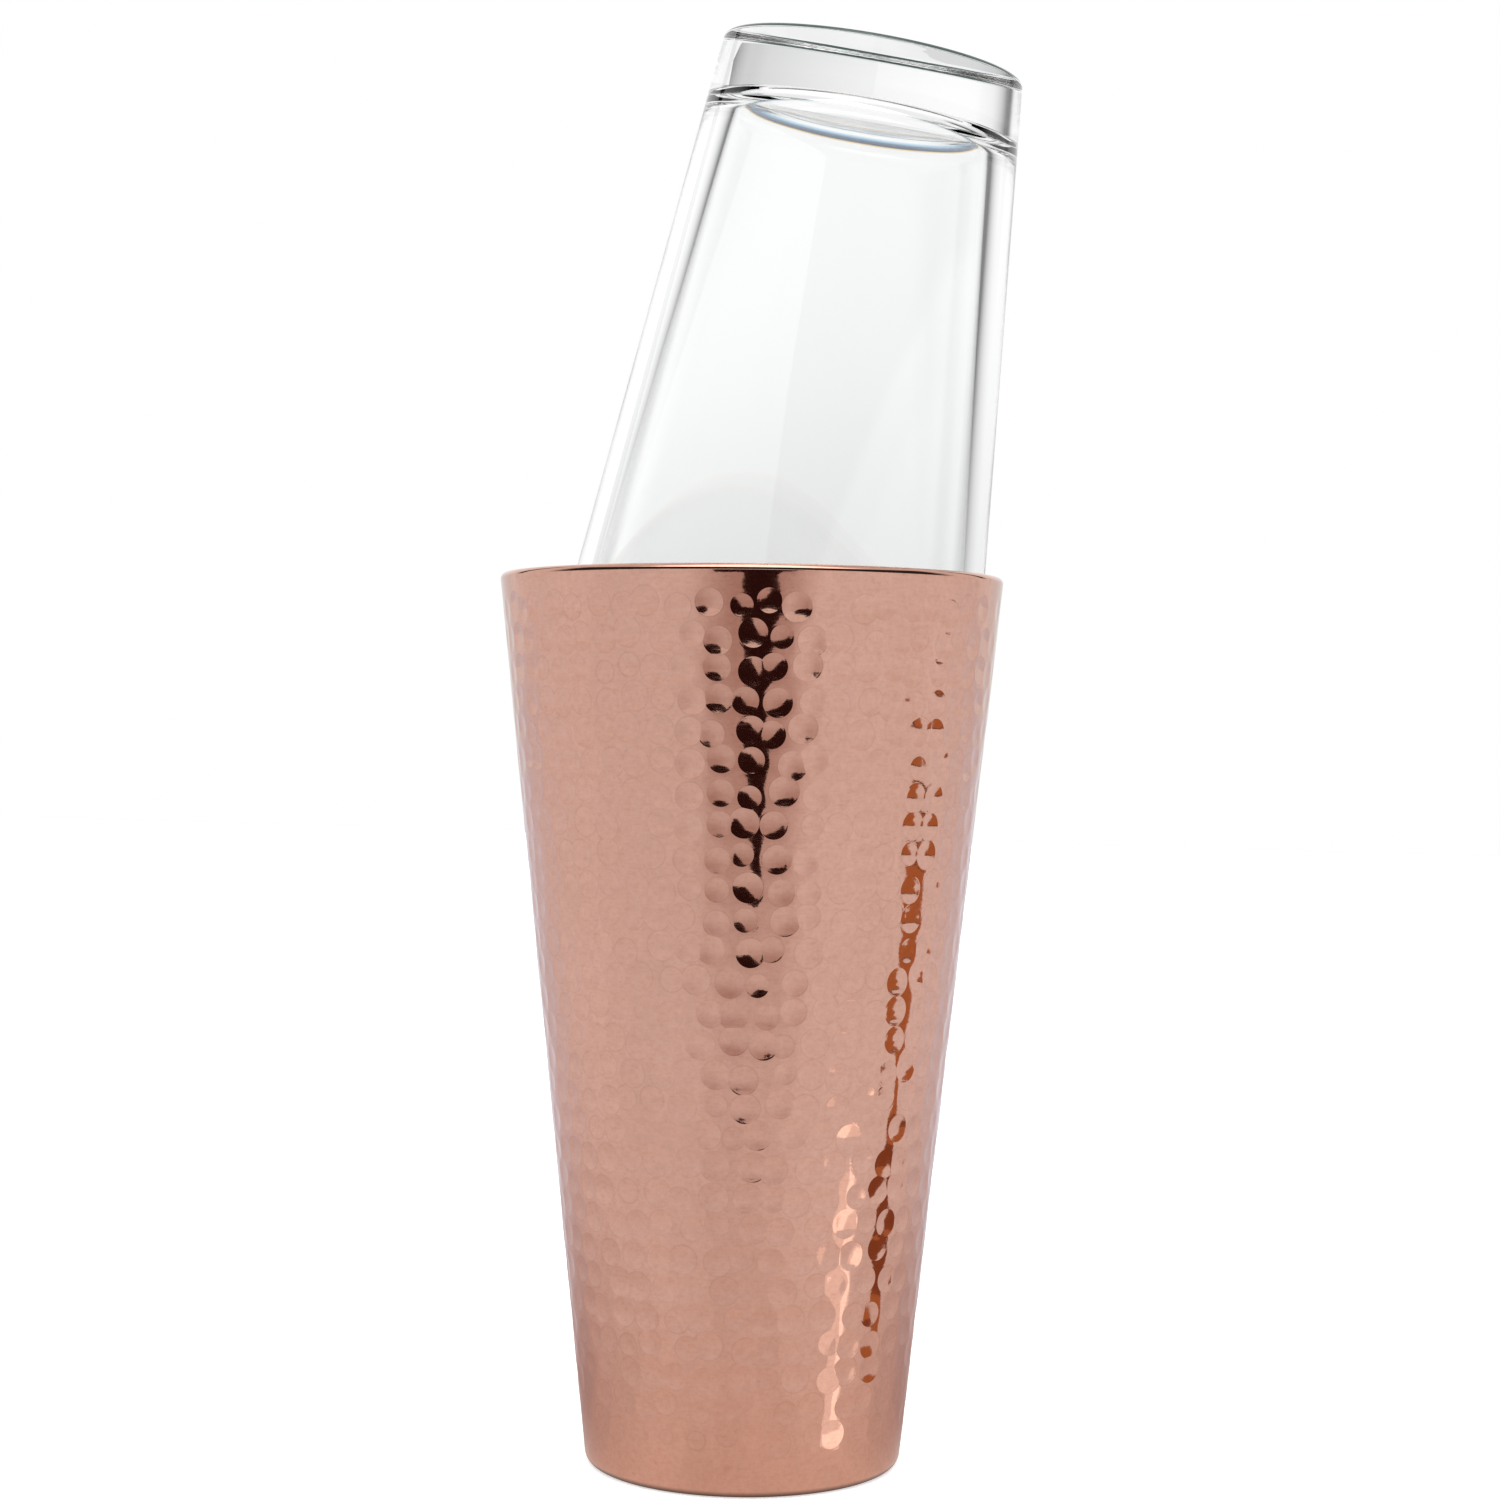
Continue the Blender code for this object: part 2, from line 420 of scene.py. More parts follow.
glass = {
    "length": 0.1440,
    "footRadius": 0.0301,
    "taper": 0.1001,
    "footCorner": 0.0012,
    "footThickness": 0.0115,
    "wallAtFloor": 0.0060,
    "wallAtMouth": 0.0034,
    "cavityCorner": 0.0060,
    "lean": math.radians(9.9),
    "footCentre": (0.0246, 0.0, 0.2811),
    "turnSteps": 256,
    # painted refraction colours round the bottom of the cavity: amber, dark and blue
    "paintedFringeFrom": 0.66,  # share of the corner's height
    "paintedFringeTo": 0.93,
    "paintedFringe": [(0.12, (0.88, 0.60, 0.28)), (0.25, (0.05, 0.05, 0.06)), (0.60, (0.08, 0.12, 0.20)),
               (0.85, (0.30, 0.56, 0.82))],
    # painted refraction: near-black green line along the foot's edge
    "paintedFootEdgeColour": (0.003, 0.010, 0.008),
    "edgeShare": (0.62, 0.55),  # of the foot's corner, down and inwards
    "clearTones": ((0.985, 0.995, 0.990), (0.992, 0.998, 0.995)),
    "waveScale": 45.0,
    "waveDepth": 0.00003,
}


def glassMaterial():
    material, tree, shader = newMaterial("clearGlass")
    place = objectPlace(tree)
    wave = noiseTexture(tree, place, glass["waveScale"], 1.0)
    bumpInto(tree, shader, wave, glass["waveDepth"])
    clear = mixColour(tree, wave, *glass["clearTones"])
    # painted refraction: a thin coloured fringe of light and dark round the bottom of the cavity, in the
    # glass's own leaning frame
    own = tree.nodes.new("ShaderNodeMapping")
    own.vector_type = "TEXTURE"
    own.inputs["Location"].default_value = glass["footCentre"]
    own.inputs["Rotation"].default_value = (0.0, glass["lean"], 0.0)
    tree.links.new(place, own.inputs["Vector"])
    x, y, z = splitPlace(tree, own.outputs[0])
    reach = reachOf(tree, x, y)
    inside = mathNode(tree, "LESS_THAN", reach, glass["footRadius"] - glass["wallAtFloor"] / 2)
    cavityTop = -glass["footThickness"]
    cornerEnd = cavityTop - glass["cavityCorner"]
    ramp = tree.nodes.new("ShaderNodeValToRGB")
    ramp.color_ramp.elements[0].position = glass["paintedFringeFrom"]
    ramp.color_ramp.elements[0].color = (1.0, 1.0, 1.0, 1.0)
    ramp.color_ramp.elements[1].position = glass["paintedFringeTo"]
    ramp.color_ramp.elements[1].color = (1.0, 1.0, 1.0, 1.0)
    span = glass["paintedFringeTo"] - glass["paintedFringeFrom"]
    for share, colour in glass["paintedFringe"]:
        ramp.color_ramp.elements.new(glass["paintedFringeFrom"] + span * share).color = (*colour, 1.0)
    tree.links.new(mapRange(tree, z, cornerEnd, cavityTop), ramp.inputs["Fac"])
    paintedFringe = mathNode(tree, "MULTIPLY", inside, mathNode(tree, "GREATER_THAN", z, cornerEnd))
    clear = mixColour(tree, paintedFringe, clear, ramp.outputs[0])
    # painted refraction: a dark line along the foot's edge, green from the thick glass
    down, inwards = glass["edgeShare"]
    high = mathNode(tree, "GREATER_THAN", z, -glass["footCorner"] * down)
    far = mathNode(tree, "GREATER_THAN", reach, glass["footRadius"] - glass["footCorner"] * inwards)
    clear = mixColour(tree, mathNode(tree, "MULTIPLY", high, far), clear, glass["paintedFootEdgeColour"])
    tree.links.new(clear, shader.inputs["Base Color"])
    shader.inputs["Roughness"].default_value = 0.0
    shader.inputs["IOR"].default_value = 1.5
    shader.inputs["Transmission Weight"].default_value = 1.0
    return material


copper = copperMaterial()
steel = steelMaterial()
clearGlass = glassMaterial()
print("materials built")


cup = {
    "height": 0.1785,
    "footRadius": 0.0316,
    "rimRadius": 0.0508,
    "copperThickness": 0.00075,
    "footCorner": 0.0023,
    "bandHeight": 0.0050,
    "bandStep": 0.0006,
    "bandBlend": 0.0150,
    "lipDepth": 0.0046,
    "linerThickness": 0.00045,
    "layerGap": 0.0003,
    "rimRoll": 0.0012,
    "waviness": 0.00030,  # slow unevenness of the beaten side
    "waveScale": 55.0,
    "waveFromFoot": 0.002,
    "sideSkin": 0.0002,  # how far under the plain side still counts as the outer side
    "footFade": 0.006,  # heights over which it fades in and out
    "rimFade": 0.004,
    "linerTopDrop": 0.0022,
    "turnSteps": 352,
    "linerSteps": 192,
    "sideRows": 214,
}
bandBottom = cup["height"] - cup["bandHeight"]
sideTaper = (cup["rimRadius"] - cup["bandStep"] - cup["footRadius"]) / bandBottom
sideAngle = math.atan(sideTaper)
rimThickness = 2 * (cup["copperThickness"] + cup["layerGap"]) + cup["linerThickness"]


def sideRadius(height, inset=0.0):
    straight = cup["footRadius"] + sideTaper * height
    share = min(1.0, max(0.0, 1.0 - (bandBottom - height) / cup["bandBlend"]))
    step = cup["bandStep"] * share * share * (3 - 2 * share)
    lean = math.cos(sideAngle) * (1 - share) + share
    return straight + step - inset / lean


def sidePoints(low, high, inset, steps):
    heights = [low + (high - low) * i / steps for i in range(steps + 1)]
    return [(sideRadius(height, inset), height) for height in heights]


def footCorner(inset, steps):
    radius = max(cup["footCorner"] - inset, 0.0)
    centre = (sideRadius(cup["footCorner"]) - cup["footCorner"] / math.cos(sideAngle), cup["footCorner"])
    return arcPoints(centre, radius, -math.pi / 2, -sideAngle, steps)


def copperProfile():
    slotCentre = (cup["rimRadius"] - rimThickness / 2, cup["height"] - rimThickness / 2)
    slot = rimThickness / 2 - cup["copperThickness"]
    lipInside = cup["rimRadius"] - rimThickness
    lipBottom = cup["height"] - cup["lipDepth"]
    innerCorner = footCorner(cup["copperThickness"], 4)
    outerCorner = footCorner(0.0, 8)
    inside = sidePoints(innerCorner[-1][1], bandBottom, cup["copperThickness"], 10)
    roll = cup["rimRoll"]
    rollHeight = cup["height"] - roll
    rollCentre = (cup["footRadius"] + sideTaper * rollHeight - roll / math.cos(sideAngle), rollHeight)
    rimArc = arcPoints(rollCentre, roll, math.pi, -sideAngle, 22)
    points = [(0.0, cup["copperThickness"]), *innerCorner, *inside[1:]]
    points += arcPoints(slotCentre, slot, 0.0, math.pi, 6)
    foot = cup["copperThickness"] / 2
    points += arcPoints((lipInside + foot, lipBottom + foot), foot, 0.0, -math.pi, 6)
    points += rimArc
    points += linePoints(rimArc[-1], outerCorner[-1], cup["sideRows"])
    points += [*reversed(outerCorner)]
    flatEdge = outerCorner[0][0]
    points += [(flatEdge * share, 0.0) for share in (0.8, 0.4, 0.0)]
    return points


def linerProfile():
    outerInset = cup["copperThickness"] + cup["layerGap"]
    innerInset = outerInset + cup["linerThickness"]
    top = cup["height"] - cup["linerTopDrop"]
    innerCorner = footCorner(innerInset, 8)
    outerCorner = footCorner(outerInset, 4)
    slotMiddle = cup["rimRadius"] - rimThickness / 2
    half = cup["linerThickness"] / 2
    inside = sidePoints(innerCorner[-1][1], bandBottom, innerInset, 60)
    outside = sidePoints(outerCorner[-1][1], bandBottom, outerInset, 12)
    points = [(0.0, innerInset), *innerCorner, *inside[1:]]
    points += arcPoints((slotMiddle, top - half), half, math.pi, 0.0, 4)
    points += [*reversed(outside[1:]), *reversed(outerCorner), (0.0, outerInset)]
    return points


def addNode(tree, kind, **settings):
    node = tree.nodes.new(kind)
    for label, value in settings.items():
        setattr(node, label, value)
    return node


def cupTree():
    # turns a profile line round Z and beats the marks into its outer side
    inputs = [
        ("Profile", "NodeSocketGeometry", None),
        ("Turn Steps", "NodeSocketInt", cup["turnSteps"]),
        ("Rows", "NodeSocketInt", 100),
        ("Waviness", "NodeSocketFloat", cup["waviness"]),
        ("Side Taper", "NodeSocketFloat", sideTaper),
        ("Foot Radius", "NodeSocketFloat", cup["footRadius"]),
        ("Side Bottom", "NodeSocketFloat", cup["waveFromFoot"]),
        ("Side Top", "NodeSocketFloat", cup["height"] - cup["rimRoll"]),
        ("Finish", "NodeSocketMaterial", None),
    ]
    own = ("Angle", "Height", "Taper", "Foot Radius", "Row Shift", "Column Shift")
    inputs += [row for row in markInputs if row[0] not in own]
    tree, given, result = newGroup("hammeredTurning", "GeometryNodeTree", inputs,
                                   [("Geometry", "NodeSocketGeometry")])
    g = given.outputs
    grid = addNode(tree, "GeometryNodeMeshGrid")
    tree.links.new(mathNode(tree, "ADD", g["Turn Steps"], 1.0), grid.inputs["Vertices X"])
    tree.links.new(g["Rows"], grid.inputs["Vertices Y"])
    index = addNode(tree, "GeometryNodeInputIndex").outputs[0]
    column = mathNode(tree, "FLOOR", mathNode(tree, "DIVIDE", index, g["Rows"]))
    row = mathNode(tree, "SUBTRACT", index, mathNode(tree, "MULTIPLY", column, g["Rows"]))
    around = mathNode(tree, "FLOORED_MODULO", column, g["Turn Steps"])
    angle = mathNode(tree, "MULTIPLY", mathNode(tree, "DIVIDE", around, g["Turn Steps"]), 2 * math.pi)
    angle = mathNode(tree, "SUBTRACT", angle, math.pi)
    sample = addNode(tree, "GeometryNodeSampleIndex", data_type="FLOAT_VECTOR", domain="POINT")
    tree.links.new(g["Profile"], sample.inputs["Geometry"])
    tree.links.new(addNode(tree, "GeometryNodeInputPosition").outputs[0], sample.inputs["Value"])
    tree.links.new(row, sample.inputs["Index"])
    radius, _, height = splitPlace(tree, sample.outputs[0])
    # the outer side: where the profile is at the side's own radius
    plain = mathNode(tree, "MULTIPLY_ADD", height, g["Side Taper"], g["Foot Radius"])
    outer = mathNode(tree, "GREATER_THAN", radius, mathNode(tree, "SUBTRACT", plain, cup["sideSkin"]))
    outer = mathNode(tree, "MULTIPLY", outer, mathNode(tree, "LESS_THAN", height, g["Side Top"]))
    fromFoot = mathNode(tree, "SUBTRACT", height, g["Side Bottom"])
    fromFoot = unitClamp(tree, mathNode(tree, "DIVIDE", fromFoot, cup["footFade"]))
    fromRim = mathNode(tree, "SUBTRACT", g["Side Top"], height)
    fromRim = unitClamp(tree, mathNode(tree, "DIVIDE", fromRim, cup["rimFade"]))
    field = useGroup(tree, shapeField, "GeometryNodeGroup", Angle=angle, Height=height,
                     Taper=g["Side Taper"], Foot_Radius=g["Foot Radius"])
    for socket in g:
        if socket.name and socket.name in field.inputs and not field.inputs[socket.name].links:
            tree.links.new(socket, field.inputs[socket.name])
    outward = vectorNode(tree, mathNode(tree, "COSINE", angle), mathNode(tree, "SINE", angle))
    lift = vectorNode(tree, 0.0, 0.0, height)

    def turnedOut(distance):
        flat = addNode(tree, "ShaderNodeVectorMath", operation="SCALE")
        tree.links.new(outward, flat.inputs[0])
        tree.links.new(distance, flat.inputs["Scale"])
        whole = addNode(tree, "ShaderNodeVectorMath", operation="ADD")
        tree.links.new(flat.outputs[0], whole.inputs[0])
        tree.links.new(lift, whole.inputs[1])
        return whole.outputs[0]

    noise = addNode(tree, "ShaderNodeTexNoise")
    noise.inputs["Scale"].default_value = cup["waveScale"]
    noise.inputs["Detail"].default_value = 1.0
    tree.links.new(turnedOut(radius), noise.inputs["Vector"])
    wave = mathNode(tree, "SUBTRACT", noise.outputs["Fac"], 0.5)
    wave = mathNode(tree, "MULTIPLY", wave, g["Waviness"])
    wave = mathNode(tree, "MULTIPLY", wave, mathNode(tree, "MULTIPLY", fromFoot, fromRim))
    dent = mathNode(tree, "MULTIPLY", field.outputs["Depth"], outer)
    push = mathNode(tree, "SUBTRACT", mathNode(tree, "MULTIPLY", wave, outer), dent)
    place = addNode(tree, "GeometryNodeSetPosition")
    tree.links.new(grid.outputs["Mesh"], place.inputs["Geometry"])
    tree.links.new(turnedOut(mathNode(tree, "ADD", radius, push)), place.inputs["Position"])
    merge = addNode(tree, "GeometryNodeMergeByDistance")
    merge.inputs["Distance"].default_value = 0.000005  # closes the seam and the poles
    tree.links.new(place.outputs[0], merge.inputs["Geometry"])
    smooth = addNode(tree, "GeometryNodeSetShadeSmooth")
    tree.links.new(merge.outputs[0], smooth.inputs["Geometry"])
    real = addNode(tree, "GeometryNodeRealizeInstances")
    tree.links.new(smooth.outputs[0], real.inputs[0])
    paint = addNode(tree, "GeometryNodeSetMaterial")
    tree.links.new(real.outputs[0], paint.inputs["Geometry"])
    tree.links.new(g["Finish"], paint.inputs["Material"])
    tree.links.new(paint.outputs[0], result.inputs[0])
    return tree


def makeCup():
    profile = copperProfile()
    edges = [(i, i + 1) for i in range(len(profile) - 1)]
    lineMesh = bpy.data.meshes.new("cupProfile")
    lineMesh.from_pydata([(radius, 0.0, height) for radius, height in profile], edges, [])
    line = bpy.data.objects.new("cupProfile", lineMesh)
    scene.collection.objects.link(line)
    tree = cupTree()
    modifier = line.modifiers.new("hammeredTurning", "NODES")
    modifier.node_group = tree
    values = {"Rows": len(profile), "Finish": copper, "Mark Depth": hammer["markDepth"] * hammer["inMesh"]}
    for socket in tree.interface.items_tree:
        if socket.item_type == "SOCKET" and socket.in_out == "INPUT" and socket.name in values:
            modifier[socket.identifier] = values[socket.name]
    graph = bpy.context.evaluated_depsgraph_get()
    mesh = bpy.data.meshes.new_from_object(line.evaluated_get(graph))
    mesh.name = "copperCup"
    bpy.data.objects.remove(line)
    return mesh


cupMesh = makeCup()
copperPiece = addPiece("hammered_cup", cupMesh, copper)
linerPiece = addPiece("liner_cup", turnedMesh("linerCup", linerProfile(), cup["linerSteps"]), steel)
print("cup made:", len(cupMesh.polygons), "faces")


def glassProfile():
    taperAngle = math.atan(glass["taper"])
    mouthRadius = glass["footRadius"] + glass["taper"] * glass["length"]
    lip = glass["wallAtMouth"] / 2
    cavityLength = glass["length"] - glass["footThickness"]
    cavityRadius = glass["footRadius"] + glass["taper"] * glass["footThickness"] - glass["wallAtFloor"]
    cavityTaper = (mouthRadius - glass["wallAtMouth"] - cavityRadius) / cavityLength
    cavityAngle = math.atan(cavityTaper)
    corner = glass["cavityCorner"]
    footCentre = (glass["footRadius"] - glass["footCorner"], -glass["footCorner"])
    lipCentre = (mouthRadius - lip, -glass["length"] + lip)
    cavityCentre = (cavityRadius + cavityTaper * corner - corner / math.cos(cavityAngle),
                    -glass["footThickness"] - corner)
    footArc = arcPoints(footCentre, glass["footCorner"], math.pi / 2, taperAngle, 12)
    lipArc = arcPoints(lipCentre, lip, taperAngle, -math.pi + cavityAngle, 16)
    cavityArc = arcPoints(cavityCentre, corner, cavityAngle, math.pi / 2, 20)
    flat = footArc[0][0]
    points = [(0.0, 0.0), (flat * 0.3, 0.0), (flat * 0.7, 0.0), *footArc]
    points += linePoints(footArc[-1], lipArc[0], 40)
    points += lipArc
    points += linePoints(lipArc[-1], cavityArc[0], 40)
    points += cavityArc
    points += [(cavityArc[-1][0] * share, -glass["footThickness"]) for share in (0.6, 0.3, 0.0)]
    return points


glassMesh = turnedMesh("mixingGlass", glassProfile(), glass["turnSteps"])
glassMesh.transform(Matrix.Translation(glass["footCentre"]) @ Matrix.Rotation(glass["lean"], 4, "Y"))
glassPiece = addPiece("mixing_glass_clear", glassMesh, clearGlass)
print("glass made:", len(glassMesh.polygons), "faces")

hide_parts("copper_cup")
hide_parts("steel_liner")
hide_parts("mixing_glass")
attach(copperPiece, "cup")
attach(linerPiece, "cup")
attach(glassPiece, "glass")


studio = {
    "azimuth": math.radians(20.7),
    "distance": 0.5825,
    "eyeHeight": 0.1485,
    "lens": 69.14,
    "pitch": math.radians(-0.495),
    "roll": math.radians(0.66),
}
studioTurn = Matrix.Rotation(studio["azimuth"], 4, "Z")


def makeCamera():
    data = bpy.data.cameras.new("studioCamera")
    data.lens = studio["lens"]
    data.sensor_width = 36.0
    camera = bpy.data.objects.new("studioCamera", data)
    scene.collection.objects.link(camera)
    place = studioTurn @ Vector((0.0, -studio["distance"], studio["eyeHeight"]))
    camera.matrix_world = (Matrix.Translation(place) @ studioTurn
                           @ Matrix.Rotation(math.pi / 2 + studio["pitch"], 4, "X")
                           @ Matrix.Rotation(studio["roll"], 4, "Z"))
    scene.camera = camera


def turnedToStudio(tree, vector):
    turn = tree.nodes.new("ShaderNodeVectorRotate")
    turn.rotation_type = "Z_AXIS"
    turn.inputs["Angle"].default_value = -studio["azimuth"]
    tree.links.new(vector, turn.inputs["Vector"])
    return splitPlace(tree, turn.outputs[0])


def bearingOf(tree, x, y):
    # degrees round the axis, 0 towards the studio's front, positive to its right
    return mathNode(tree, "DEGREES", mathNode(tree, "ARCTAN2", x, mathNode(tree, "MULTIPLY", y, -1.0)))


floorLook = {
    "albedo": 0.85,
    "glow": 0.62,
    "halfSize": 3.0,
    # the floor near the cup as reflections see it: painted shadow and painted copper bounce light, darkest
    # beside the cup
    "nearFront": (0.93, 0.83, 0.77),
    "nearSide": (0.52, 0.39, 0.37),
    "nearTurn": (40.0, 128.0),  # bearings between which the front tone gives way to the side's
    "farFront": (0.97, 1.00, 1.03),
    "farBack": (0.80, 0.80, 0.87),
    "farTurn": (100.0, 150.0),
    "seenInGlass": (0.93, 0.93, 0.93),
    "nearReach": 0.032,
    "farReach": 0.34,
    "sideTurn": (70.0, 140.0),
    "sideShift": 0.26,  # the warm zone reaches further out beside the cup
    "shadeColour": (0.36, 0.17, 0.11),
    "shadeMiddle": 2.0,
    "shadeTurn": (8.0, 34.0),
    "shadeReach": (0.22, 0.95),
    "shadeDepth": (0.12, 0.62),  # how dark the floor gets in front, near and far
    "contact": (0.0300, 0.0330),  # painted contact shadow: the floor is dark up to here, under the foot
    "contactShade": 0.12,
    "leftTurn": (10.0, -30.0),  # painted shade, a touch dimmer on the left, between here
    "leftEnd": (-100.0, -60.0),  # and here
    "leftShade": (-0.05, 1.02),
    "unevenness": 0.20,
    "cloudScale": (0.055, 3.2),  # for each degree round, and each tenfold of reach
}


def floorMaterial():
    # plain and pale to the camera; metal and glass see painted shadow, painted shade and painted copper
    # bounce light laid out round the studio's front, which stay put when the camera moves
    material, tree, shader = newMaterial("paleFloor")
    shader.inputs["Base Color"].default_value = (*(floorLook["albedo"],) * 3, 1.0)
    shader.inputs["Roughness"].default_value = 1.0
    shader.inputs["Emission Color"].default_value = (1.0, 1.0, 1.0, 1.0)
    shader.inputs["Emission Strength"].default_value = floorLook["glow"]
    x, y, z = turnedToStudio(tree, objectPlace(tree))
    reach = reachOf(tree, x, y)
    stretch = mathNode(tree, "LOGARITHM", reach, 10.0)
    bearing = bearingOf(tree, x, y)
    side = mathNode(tree, "ABSOLUTE", bearing)
    wide = smoothStep(tree, side, *floorLook["sideTurn"], 0.0, floorLook["sideShift"])
    far = smoothStep(tree, mathNode(tree, "SUBTRACT", stretch, wide),
                     math.log10(floorLook["nearReach"]), math.log10(floorLook["farReach"]))
    # painted shadow and copper bounce near the cup, fading into the far floor
    nearTurn = smoothStep(tree, side, *floorLook["nearTurn"])
    near = mixColour(tree, nearTurn, floorLook["nearFront"], floorLook["nearSide"])
    farTurn = smoothStep(tree, side, *floorLook["farTurn"])
    distant = mixColour(tree, farTurn, floorLook["farFront"], floorLook["farBack"])
    tone = mixColour(tree, far, near, distant)
    # painted shadow: darker straight in front, more so further out
    aside = mathNode(tree, "ABSOLUTE", mathNode(tree, "SUBTRACT", bearing, floorLook["shadeMiddle"]))
    front = smoothStep(tree, aside, *floorLook["shadeTurn"], 1.0, 0.0)
    nearShade, farShade = floorLook["shadeReach"]
    depth = smoothStep(tree, stretch, math.log10(nearShade), math.log10(farShade), *floorLook["shadeDepth"])
    tone = mixColour(tree, mathNode(tree, "MULTIPLY", front, depth), tone, floorLook["shadeColour"])
    path = tree.nodes.new("ShaderNodeLightPath").outputs
    inGlass = mathNode(tree, "GREATER_THAN", path["Transmission Depth"], 0.5)
    tone = mixColour(tree, inGlass, tone, floorLook["seenInGlass"])
    # painted shadow under the foot, painted shade a touch dimmer on the left, with soft clouds
    shade = smoothStep(tree, reach, *floorLook["contact"], floorLook["contactShade"], 1.0)
    left = mathNode(tree, "MULTIPLY", smoothStep(tree, bearing, *floorLook["leftTurn"]),
                    smoothStep(tree, bearing, *floorLook["leftEnd"]))
    shade = mathNode(tree, "MULTIPLY", shade, mathNode(tree, "MULTIPLY_ADD", left, *floorLook["leftShade"]))
    roundScale, outScale = floorLook["cloudScale"]
    place = vectorNode(tree, mathNode(tree, "MULTIPLY", bearing, roundScale),
                       mathNode(tree, "MULTIPLY", stretch, outScale))
    cloud = mathNode(tree, "SUBTRACT", noiseTexture(tree, place, 1.0, 1.5), 0.5)
    cloud = mathNode(tree, "MULTIPLY", cloud, floorLook["unevenness"])
    shade = mathNode(tree, "MULTIPLY", shade, mathNode(tree, "ADD", cloud, 1.0))
    # the floor glows with these painted tones, seen only in reflections and through the glass
    mirrored = tree.nodes.new("ShaderNodeEmission")
    tree.links.new(tone, mirrored.inputs["Color"])
    tree.links.new(shade, mirrored.inputs["Strength"])
    choose = tree.nodes.new("ShaderNodeMixShader")
    tree.links.new(path["Is Camera Ray"], choose.inputs["Fac"])
    tree.links.new(mirrored.outputs[0], choose.inputs[1])
    tree.links.new(shader.outputs[0], choose.inputs[2])
    tree.links.new(choose.outputs[0], tree.nodes["Material Output"].inputs["Surface"])
    return material


def makeFloor():
    half = floorLook["halfSize"]
    corners = [(-half, -half, 0.0), (half, -half, 0.0), (half, half, 0.0), (-half, half, 0.0)]
    mesh = bpy.data.meshes.new("floor")
    mesh.from_pydata(corners, [], [(0, 1, 2, 3)])
    floor = addPiece("floor", mesh, floorMaterial())


# angles in degrees: bearings from the studio's front, heights above the horizon
tent = {
    "low": 0.96,  # just over the horizon, all round
    "gap": 0.03,  # dark room in front, over the low light
    "gapInGlass": 0.50,
    "gapHeights": (4.5, 5.7),
    "frontTurn": (92.0, 108.0),
    "slit": 0.05,  # between the side panels and the backdrop
    "slitStart": (127.5, 129.0),
    "slitEnd": (134.0, 136.5),
    "slitHeights": (4.0, 14.0),
    "back": 1.08,
    "backLow": 0.84,
    "backHeights": (0.0, 18.0),
    "backTurn": (138.0, 148.0),
    "top": 3.0,
    "topSide": 0.9,
    "topHeights": (38.0, 46.0),
    "topFrontTurn": (40.0, 75.0),
    "topBackTurn": (120.0, 150.0),
    # through the glass: bearing and brightness there
    "fallInGlass": [(119.5, 0.80), (124.5, 0.14), (128.5, 0.08), (131.0, 0.30), (134.0, 0.54), (137.0, 0.70),
                    (140.0, 0.82), (145.0, 0.93), (150.0, 1.0)],
    "fallTurn": (116.5, 119.5),
    "fallHeights": (-2.0, 12.0),
    "fallLow": 0.74,
    "fallRight": -0.05,  # the right is a little dimmer
}


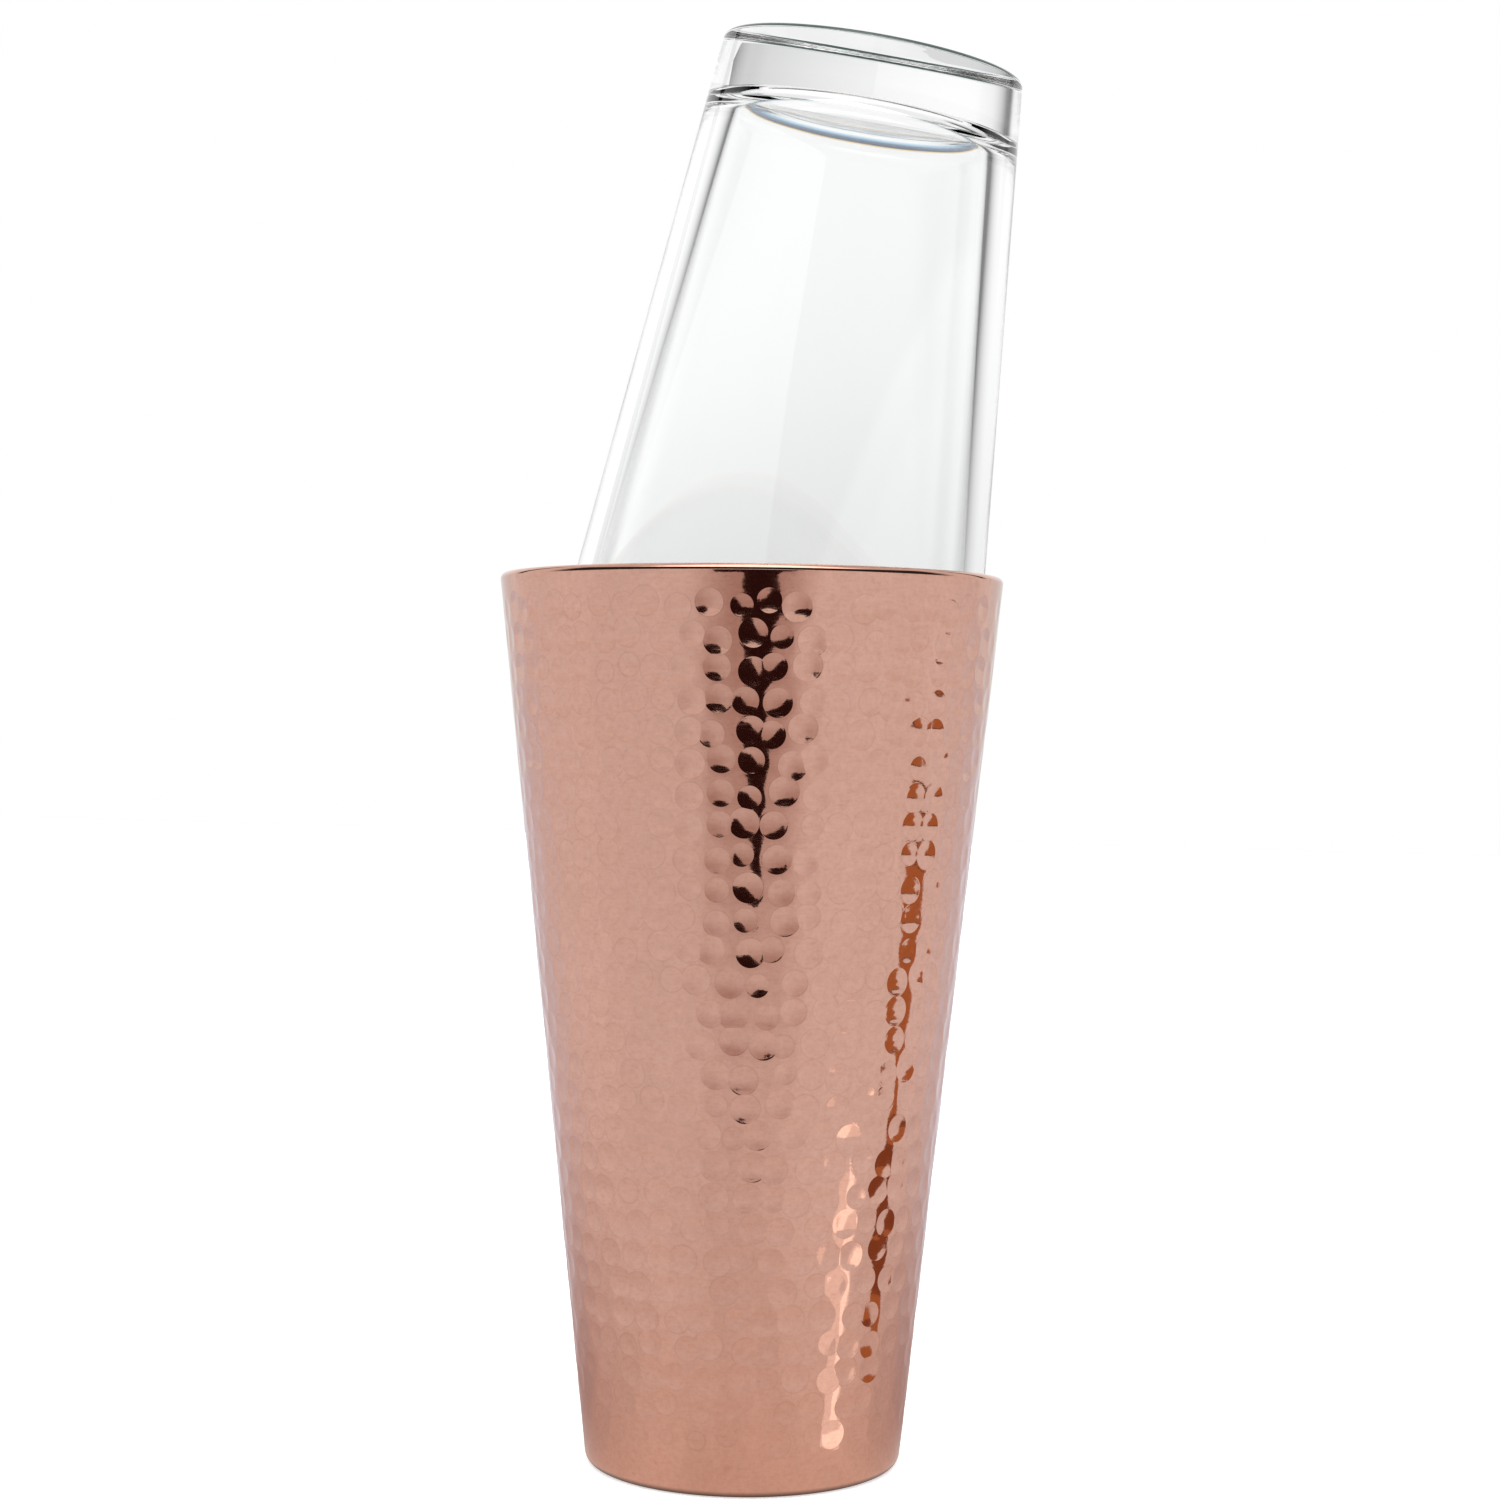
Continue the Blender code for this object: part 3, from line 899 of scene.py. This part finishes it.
def makeWorld():
    # a light tent laid out round the studio's front: bright backdrop and top, dimmer front,
    # dark gaps between them, and plain white to the camera
    world = bpy.data.worlds.new("lightTent")
    scene.world = world
    world.use_nodes = True
    tree = world.node_tree
    shade = tree.nodes["Background"]
    x, y, z = turnedToStudio(tree, tree.nodes.new("ShaderNodeTexCoord").outputs["Generated"])
    azimuth = mathNode(tree, "ABSOLUTE", bearingOf(tree, x, y))
    height = mathNode(tree, "DEGREES", mathNode(tree, "ARCSINE", z))
    path = tree.nodes.new("ShaderNodeLightPath").outputs
    inGlass = mathNode(tree, "GREATER_THAN", path["Transmission Depth"], 0.5)
    # the low light, and the dark room over it in front
    front = smoothStep(tree, azimuth, *tent["frontTurn"], 1.0, 0.0)
    gap = smoothStep(tree, height, *tent["gapHeights"])
    dark = mixNumber(tree, inGlass, tent["gap"], tent["gapInGlass"])
    level = mixNumber(tree, mathNode(tree, "MULTIPLY", front, gap), tent["low"], dark)
    slit = mathNode(tree, "MULTIPLY", smoothStep(tree, azimuth, *tent["slitStart"]),
                    smoothStep(tree, azimuth, *tent["slitEnd"], 1.0, 0.0))
    slit = mathNode(tree, "MULTIPLY", slit, smoothStep(tree, height, *tent["slitHeights"]))
    level = mixNumber(tree, slit, level, tent["slit"])
    backdrop = smoothStep(tree, height, *tent["backHeights"], tent["backLow"], tent["back"])
    level = mixNumber(tree, smoothStep(tree, azimuth, *tent["backTurn"]), level, backdrop)
    # through the glass the backdrop falls off towards its sides
    fall = tree.nodes.new("ShaderNodeValToRGB")
    for bearing, amount in tent["fallInGlass"]:
        fall.color_ramp.elements.new(bearing / 180.0).color = (amount, amount, amount, 1.0)
    tree.links.new(mathNode(tree, "DIVIDE", azimuth, 180.0), fall.inputs["Fac"])
    seen = smoothStep(tree, height, *tent["fallHeights"], tent["fallLow"], tent["back"])
    seen = mathNode(tree, "MULTIPLY", fall.outputs[0], seen)
    right = mathNode(tree, "GREATER_THAN", x, 0.0)
    right = mathNode(tree, "MULTIPLY_ADD", right, tent["fallRight"], 1.0)
    seen = mathNode(tree, "MULTIPLY", seen, right)
    beside = mathNode(tree, "MULTIPLY", smoothStep(tree, azimuth, *tent["fallTurn"]), inGlass)
    level = mixNumber(tree, beside, level, seen)
    # the top
    top = smoothStep(tree, height, *tent["topHeights"])
    topLevel = mixNumber(tree, smoothStep(tree, azimuth, *tent["topFrontTurn"]), tent["top"], tent["topSide"])
    topLevel = mixNumber(tree, smoothStep(tree, azimuth, *tent["topBackTurn"]), topLevel, tent["back"])
    level = mixNumber(tree, top, level, topLevel)
    level = mixNumber(tree, path["Is Camera Ray"], level, 1.0)
    tree.links.new(vectorNode(tree, level, level, level), shade.inputs["Color"])
    shade.inputs["Strength"].default_value = 1.0


# cards that only reflections show, glowing though they light nothing: painted reflections of a dark room, a
# brown band and light strips. Corners: x to the studio's right, y to its back
lowCard, topCard = 0.001, 0.002
# painted dark reflection of the room in front of the cup
darkColour = (0.030, 0.010, 0.009)
wedge = [(0.012, -0.44), (-0.036, -0.85), (-0.085, -1.27), (-0.45, -1.60), (-0.95, -2.98), (1.25, -2.98),
         (0.60, -1.60), (0.29, -1.27), (0.150, -0.85), (0.036, -0.44)]
wedgeEnd = [(-0.95, -2.98, 0.0), (1.25, -2.98, 0.0), (1.25, -2.98, 0.13), (-0.95, -2.98, 0.13)]
glowArea = [(0.033, -0.040), (0.180, -0.132), (0.200, -0.090), (0.036, -0.032)]
stripArea = [(0.036, -0.037), (0.195, -0.110), (0.200, -0.096), (0.038, -0.034)]
# distance, middle and half width of a painted brown reflection lying beside the cup
brownReflectionBand = [(0.100, -0.013, 0.004), (0.134, -0.012, 0.012), (0.171, -0.010, 0.018), (0.212, -0.006, 0.015),
            (0.258, -0.002, 0.017), (0.311, 0.006, 0.012), (0.371, 0.014, 0.018), (0.440, 0.026, 0.048),
            (0.521, 0.034, 0.046), (0.616, 0.044, 0.084), (0.730, 0.056, 0.110), (0.780, 0.062, 0.100)]


def atHeight(corners, height):
    return [(x, y, height) for x, y in corners]


def bandArea(band):
    near = [(reach, middle - half) for reach, middle, half in band]
    return near + [(reach, middle + half) for reach, middle, half in reversed(band)]


cards = [
    # painted dark reflection: a wedge on the floor and a wall at its far end
    ("darkWedge", atHeight(wedge, lowCard), darkColour, 1.0),
    ("darkEnd", wedgeEnd, darkColour, 1.0),
    # painted brown reflection, with painted shade darker in parts
    ("brownReflectionStrip", atHeight(bandArea(brownReflectionBand), lowCard), (0.54, 0.22, 0.08), 1.0),
    ("brownReflectionShade", atHeight(bandArea(brownReflectionBand[1:5]), topCard), (0.30, 0.10, 0.040), 1.0),
    ("brownReflectionEnd", atHeight(bandArea(brownReflectionBand[-2:]), topCard), (0.16, 0.050, 0.018), 1.0),
    # painted highlights: a soft glow and a bright strip beside the cup
    ("lightGlow", atHeight(glowArea, lowCard), (1.0, 0.98, 0.96), 1.28),
    ("lightStrip", atHeight(stripArea, topCard), (1.0, 0.98, 0.95), 1.9),
]


def makeCard(name, corners, colour, glow):
    material, tree, shader = newMaterial(name)
    shader.inputs["Base Color"].default_value = (0.0, 0.0, 0.0, 1.0)
    shader.inputs["Roughness"].default_value = 1.0
    shader.inputs["Specular IOR Level"].default_value = 0.0
    shader.inputs["Emission Color"].default_value = (*colour, 1.0)
    shader.inputs["Emission Strength"].default_value = glow
    mesh = bpy.data.meshes.new(name)
    mesh.from_pydata([tuple(studioTurn @ Vector(corner)) for corner in corners], [],
                     [tuple(range(len(corners)))])
    card = addPiece(name, mesh, material)
    card.visible_camera = False
    card.visible_diffuse = False
    card.visible_transmission = False
    card.visible_shadow = False


makeCamera()
makeFloor()
makeWorld()
for card in cards:
    makeCard(*card)
scene.view_settings.view_transform = "Standard"
scene.cycles.max_bounces = 24
scene.cycles.glossy_bounces = 16
scene.cycles.transmission_bounces = 24
print("studio set")

bpy.context.view_layer.update()
